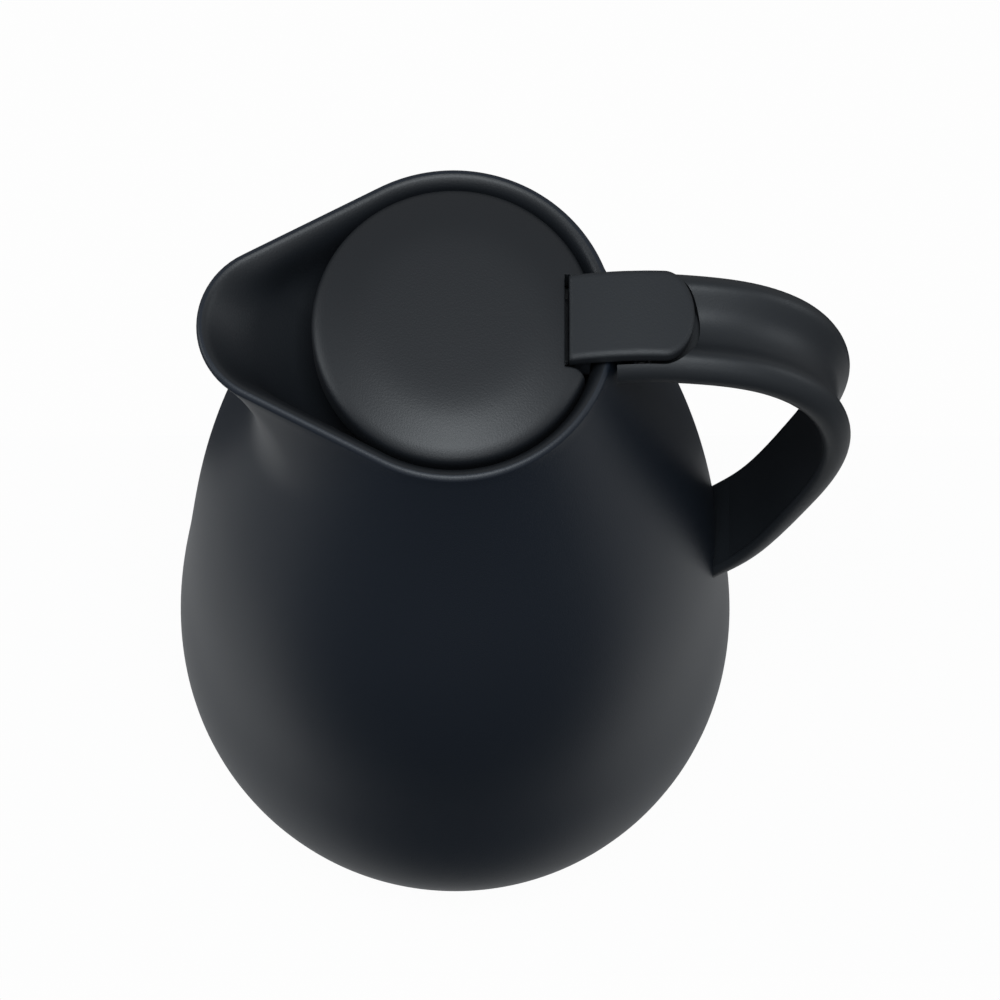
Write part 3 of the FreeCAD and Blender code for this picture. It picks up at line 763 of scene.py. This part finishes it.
BLACK_A, BLACK_B = (0.0034, 0.0064, 0.0120), (0.0046, 0.0082, 0.0146)
GREY_A, GREY_B = (0.0055, 0.0068, 0.0090), (0.0074, 0.0090, 0.0114)
GRIP_A, GRIP_B = (0.0085, 0.0103, 0.0128), (0.0110, 0.0131, 0.0160)
FINISHES: Dict[Slot, Finish] = {
    Slot.SHELL: MouldedFinish("shell_plastic", BLACK_A, BLACK_B),
    Slot.COLLAR: MouldedFinish("collar_plastic", GREY_A, GREY_B),
    Slot.LID: MouldedFinish("lid_plastic", GREY_A, GREY_B, edge_round=0.0005),
    Slot.STOPPER: MouldedFinish("stopper_plastic", (0.010, 0.0115, 0.0125), (0.014, 0.016, 0.017)),
    Slot.LEVER: MouldedFinish("lever_plastic", GRIP_A, GRIP_B, edge_round=0.0014),
    Slot.HANDLE: MouldedFinish("handle_plastic", GRIP_A, GRIP_B),
    Slot.LINER: MouldedFinish("liner_plastic", GRIP_A, GRIP_B),
    Slot.BASE: MouldedFinish("base_plastic", BLACK_A, BLACK_B, roughness=(0.5, 0.58)),
    Slot.FOOT: MouldedFinish("foot_rubber", (0.010, 0.010, 0.0105), (0.014, 0.014, 0.0145),
                             roughness=(0.8, 0.9), grain_scale=900.0, specular=0.3),
    Slot.SILICONE: MouldedFinish("silicone", (0.42, 0.42, 0.40), (0.50, 0.50, 0.48),
                                 roughness=(0.42, 0.5), grain_depth=0.1),
    Slot.PADS: MouldedFinish("felt_pads", (0.34, 0.31, 0.25), (0.46, 0.43, 0.36), roughness=(0.9, 1.0),
                             grain_depth=0.8, sheen=0.5),
    Slot.FOAM: MouldedFinish("foam", (0.70, 0.68, 0.62), (0.80, 0.78, 0.72), roughness=(0.85, 0.95),
                             grain_scale=700.0, grain_depth=0.9, specular=0.2),
    Slot.GLASS: MetalFinish("silvered_glass", (0.78, 0.80, 0.83), (0.88, 0.89, 0.91), (0.05, 0.12),
                            coat=1.0),
    Slot.STEEL: MetalFinish("turned_steel", (0.52, 0.52, 0.53), (0.62, 0.62, 0.63), (0.22, 0.34)),
}


def carried(*names: str) -> List[bpy.types.Object]:
    """Returns carried-over CAD nodes by name."""
    return [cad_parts[name] for name in names]


def paint(objects: Sequence[bpy.types.Object], material: bpy.types.Material) -> None:
    """Gives objects one material in place of what they carry.

    Args:
        objects: CAD nodes or pieces.
        material: Finish to show.
    """
    for piece in objects:
        piece.data.materials.clear()
        piece.data.materials.append(material)


@dataclass
class BodySet:
    """Outer shell with the pouring collar under its lip."""

    form: BodyForm
    shell: Optional[bpy.types.Object] = None
    collar: Optional[bpy.types.Object] = None

    def build(self) -> None:
        """Makes the smooth shell and collar."""
        self.shell = OuterShell(self.form).build()
        self.collar = PourCollar(self.form).build()

    def dress(self, paints: Paints) -> None:
        """Paints the skins and the nodes that they stand for.

        Args:
            paints: Material of each slot.
        """
        paint([self.shell] + carried("outer_shell"), paints[Slot.SHELL])
        paint([self.collar] + carried("pour_collar"), paints[Slot.COLLAR])


@dataclass
class FlaskSet:
    """Double-walled glass flask with its pads, gasket and cushion."""

    glass: Tuple[str, ...] = ("flask_inner", "flask_outer")
    pads: Tuple[str, ...] = ("flask_spacers",)
    silicone: Tuple[str, ...] = ("mouth_gasket", "flask_cushion")

    def build(self) -> None:
        """Carries all of it over from the CAD nodes."""
        LOG.info("flask: carried over %s", ", ".join(self.glass + self.pads + self.silicone))

    def dress(self, paints: Paints) -> None:
        """Paints the glass silver, the pads as felt and the rings as silicone.

        Args:
            paints: Material of each slot.
        """
        paint(carried(*self.glass), paints[Slot.GLASS])
        paint(carried(*self.pads), paints[Slot.PADS])
        paint(carried(*self.silicone), paints[Slot.SILICONE])


@dataclass
class BaseSet:
    """Screw-in base cap with its seal, and the foot ring under the shell."""

    cap: str = "base_cap"
    seal: str = "base_seal"
    foot: str = "foot_ring"

    def build(self) -> None:
        """Carries all of it over from the CAD nodes."""
        LOG.info("base: carried over %s, %s, %s", self.cap, self.seal, self.foot)

    def dress(self, paints: Paints) -> None:
        """Paints cap, seal and foot.

        Args:
            paints: Material of each slot.
        """
        paint(carried(self.cap), paints[Slot.BASE])
        paint(carried(self.seal), paints[Slot.SILICONE])
        paint(carried(self.foot), paints[Slot.FOOT])


@dataclass
class HandleSet:
    """Strap handle with its liner, screws and the hinge pin in its ears."""

    strap: str = "handle_shell"
    liner: str = "handle_liner"
    steel: Tuple[str, ...] = ("handle_screws", "hinge_pin")

    def build(self) -> None:
        """Carries all of it over from the CAD nodes."""
        LOG.info("handle: carried over %s, %s, %s", self.strap, self.liner, ", ".join(self.steel))

    def dress(self, paints: Paints) -> None:
        """Paints strap, liner and steel.

        Args:
            paints: Material of each slot.
        """
        paint(carried(self.strap), paints[Slot.HANDLE])
        paint(carried(self.liner), paints[Slot.LINER])
        paint(carried(*self.steel), paints[Slot.STEEL])


@dataclass
class LidSet:
    """Lid cover, stopper, gasket, foam and the thumb lever with its screws."""

    cover: str = "lid_cover"
    stopper: str = "lid_base"
    gasket: str = "lid_gasket"
    foam: str = "lid_insulation"
    lever: str = "thumb_lever"
    screws: str = "lever_screws"

    def build(self) -> None:
        """Carries all of it over from the CAD nodes."""
        names = self.cover, self.stopper, self.gasket, self.foam, self.lever, self.screws
        LOG.info("lid: carried over %s", ", ".join(names))

    def dress(self, paints: Paints) -> None:
        """Paints each piece of the lid.

        Args:
            paints: Material of each slot.
        """
        paint(carried(self.cover), paints[Slot.LID])
        paint(carried(self.stopper), paints[Slot.STOPPER])
        paint(carried(self.gasket), paints[Slot.SILICONE])
        paint(carried(self.foam), paints[Slot.FOAM])
        paint(carried(self.lever), paints[Slot.LEVER])
        paint(carried(self.screws), paints[Slot.STEEL])


@dataclass(frozen=True)
class Softbox:
    """Soft rectangular lamp, in metres and watts."""

    name: str
    place: Tuple[float, float, float]
    size: Tuple[float, float]
    power: float
    aim: Tuple[float, float, float] = (0.0, 0.0, 0.12)
    colour: Tone = (0.90, 0.96, 1.0)

    def build(self) -> None:
        """Makes the lamp and turns it to the point that it lights."""
        data = bpy.data.lights.new(self.name, "AREA")
        data.shape = "RECTANGLE"
        data.size, data.size_y = self.size
        data.energy = self.power
        data.color = self.colour
        lamp = bpy.data.objects.new(self.name, data)
        lamp.location = self.place
        lamp.rotation_euler = (Vector(self.aim) - Vector(self.place)).to_track_quat("-Z", "Y").to_euler()
        bpy.context.scene.collection.objects.link(lamp)


SOFTBOXES = (
    Softbox("overhead_softbox", (0.0, -0.28, 1.4), (0.8, 0.45), 13.5),
    Softbox("front_softbox", (0.0, -0.85, 0.95), (0.8, 0.4), 3.0),
    Softbox("left_softbox", (-1.1, 0.2, 0.6), (0.5, 0.6), 3.5, (-0.2, 0.0, 0.0)),
    Softbox("right_softbox", (1.1, 0.2, 0.6), (0.5, 0.6), 2.0, (0.2, 0.0, 0.0)),
)


@dataclass
class Studio:
    """Floor, lamps, world and camera: the camera in millimetres, its clip range and the floor in metres."""

    aim_height: float = 107.2
    aim_x: float = 2.0
    shift_x: float = 0.0378
    distance: float = 800.0
    elevation: float = 65.0
    plane_pitch: float = 84.9
    lens: float = 110.91
    sensor: float = 36.0
    clip: Range = (0.01, 20.0)
    floor_half: float = 0.26
    floor_front: float = 0.095
    floor_back: float = 0.07
    floor_tone: Tone = (0.5, 0.5, 0.5)
    floor_roughness: float = 0.9
    floor_white: Tone = (1.0, 1.0, 1.0)
    floor_white_share: float = 0.97
    dim_tone: Tone = (0.05, 0.054, 0.06)
    surround_white: Tone = (0.985, 0.985, 0.985)
    surround_white_share: float = 1.0
    gloss_share: float = 0.38
    dusk: Range = (-0.6, 0.0)

    def camera(self) -> None:
        """Makes the camera with its picture plane tilted back against its line of sight."""
        rise, pitch = math.radians(self.elevation), math.radians(self.plane_pitch)
        sight = Vector((0, math.cos(rise), -math.sin(rise)))
        across, upward = Vector((1, 0, 0)), Vector((0, math.sin(pitch), math.cos(pitch)))
        aim = Vector((AXIS_X + self.aim_x * MM, 0, self.aim_height * MM))
        place = aim - sight * (self.distance * MM)
        columns = (across, upward, -sight, place)
        matrix = Matrix([[c[i] for c in columns] for i in range(3)] + [[0, 0, 0, 1]])
        data = bpy.data.cameras.new("camera")
        data.lens, data.sensor_width = self.lens, self.sensor
        data.shift_x = self.shift_x
        data.clip_start, data.clip_end = self.clip
        camera = bpy.data.objects.new("camera", data)
        rig = bpy.data.objects.new("camera_rig", None)
        for item in (rig, camera):
            bpy.context.scene.collection.objects.link(item)
        # The link to the rig holds the tilt, because an object's own turn and scale can't.
        camera.parent = rig
        camera.matrix_parent_inverse = matrix
        bpy.context.scene.camera = camera

    @staticmethod
    def whiten(tree: bpy.types.NodeTree, plain: bpy.types.Node, white: bpy.types.Node, output: str,
               share: float) -> bpy.types.Node:
        """Shows a backdrop white to camera and transmission rays, and partly white to glossy rays.

        Args:
            tree: Nodes of the floor's material or of the world.
            plain: Shader that all other rays meet.
            white: Shader of the white background.
            output: Name of the output node.
            share: Share of white for camera and transmission rays.

        Returns:
            The node whose second input takes the share of white for glossy rays.
        """
        nodes, links = tree.nodes, tree.links
        path = nodes.new("ShaderNodeLightPath")
        clear = math_node(nodes, Calc.LARGER)
        gloss = math_node(nodes, Calc.TIMES)
        seen = math_node(nodes, Calc.TIMES_PLUS, share, clamp=True)
        mix = nodes.new("ShaderNodeMixShader")
        links.new(path.outputs["Is Camera Ray"], clear.inputs[0])
        links.new(path.outputs["Is Transmission Ray"], clear.inputs[1])
        links.new(path.outputs["Is Glossy Ray"], gloss.inputs[0])
        links.new(clear.outputs[0], seen.inputs[0])
        links.new(gloss.outputs[0], seen.inputs[2])
        links.new(seen.outputs[0], mix.inputs["Fac"])
        links.new(plain.outputs[0], mix.inputs[1])
        links.new(white.outputs[0], mix.inputs[2])
        links.new(mix.outputs["Shader"], nodes[output].inputs["Surface"])
        return gloss

    def floor(self) -> None:
        """Makes the pale floor, near white to the camera, with the object's shadow."""
        half, front, back = self.floor_half, -self.floor_front, self.floor_back
        corners = [(-half, front, 0), (half, front, 0), (half, back, 0), (-half, back, 0)]
        mesh = bpy.data.meshes.new("floor")
        mesh.from_pydata(corners, [], [(0, 1, 2, 3)])
        floor = bpy.data.objects.new("floor", mesh)
        bpy.context.scene.collection.objects.link(floor)
        material = bpy.data.materials.new("floor_paper")
        material.use_nodes = True
        nodes = material.node_tree.nodes
        paper = nodes["Principled BSDF"]
        paper.inputs["Base Color"].default_value = (*self.floor_tone, 1.0)
        paper.inputs["Roughness"].default_value = self.floor_roughness
        paper.inputs["Specular IOR Level"].default_value = 0.0
        white = nodes.new("ShaderNodeEmission")
        white.inputs["Color"].default_value = (*self.floor_white, 1.0)
        gloss = self.whiten(material.node_tree, paper, white, "Material Output", self.floor_white_share)
        gloss.inputs[1].default_value = self.gloss_share
        mesh.materials.append(material)

    def world(self) -> None:
        """Sets a dim surround that the camera sees as white, and gloss as partly white above the dusk."""
        world = bpy.data.worlds.new("surround")
        bpy.context.scene.world = world
        world.use_nodes = True
        nodes, links = world.node_tree.nodes, world.node_tree.links
        dim = nodes["Background"]
        dim.inputs["Color"].default_value = (*self.dim_tone, 1.0)
        white = nodes.new("ShaderNodeBackground")
        white.inputs["Color"].default_value = (*self.surround_white, 1.0)
        gloss = self.whiten(world.node_tree, dim, white, "World Output", self.surround_white_share)
        place = nodes.new("ShaderNodeTexCoord")
        split = nodes.new("ShaderNodeSeparateXYZ")
        above = nodes.new("ShaderNodeMapRange")
        above.inputs["From Min"].default_value, above.inputs["From Max"].default_value = self.dusk
        above.inputs["To Max"].default_value = self.gloss_share
        links.new(place.outputs["Generated"], split.inputs["Vector"])
        links.new(split.outputs["Z"], above.inputs["Value"])
        links.new(above.outputs["Result"], gloss.inputs[1])

    def build(self) -> None:
        """Makes the whole studio."""
        bpy.context.scene.view_settings.view_transform = "Standard"
        self.camera()
        self.floor()
        self.world()
        for softbox in SOFTBOXES:
            softbox.build()


def main() -> None:
    """Builds the sub-assemblies in order, dresses them and sets up the studio."""
    logging.basicConfig(level=logging.INFO, format="%(message)s")
    paints = {slot: finish.build() for slot, finish in FINISHES.items()}
    for assembly in (BodySet(BodyForm()), FlaskSet(), BaseSet(), HandleSet(), LidSet()):
        assembly.build()
        assembly.dress(paints)
    Studio().build()
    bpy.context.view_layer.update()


if __name__ == "__main__":
    main()
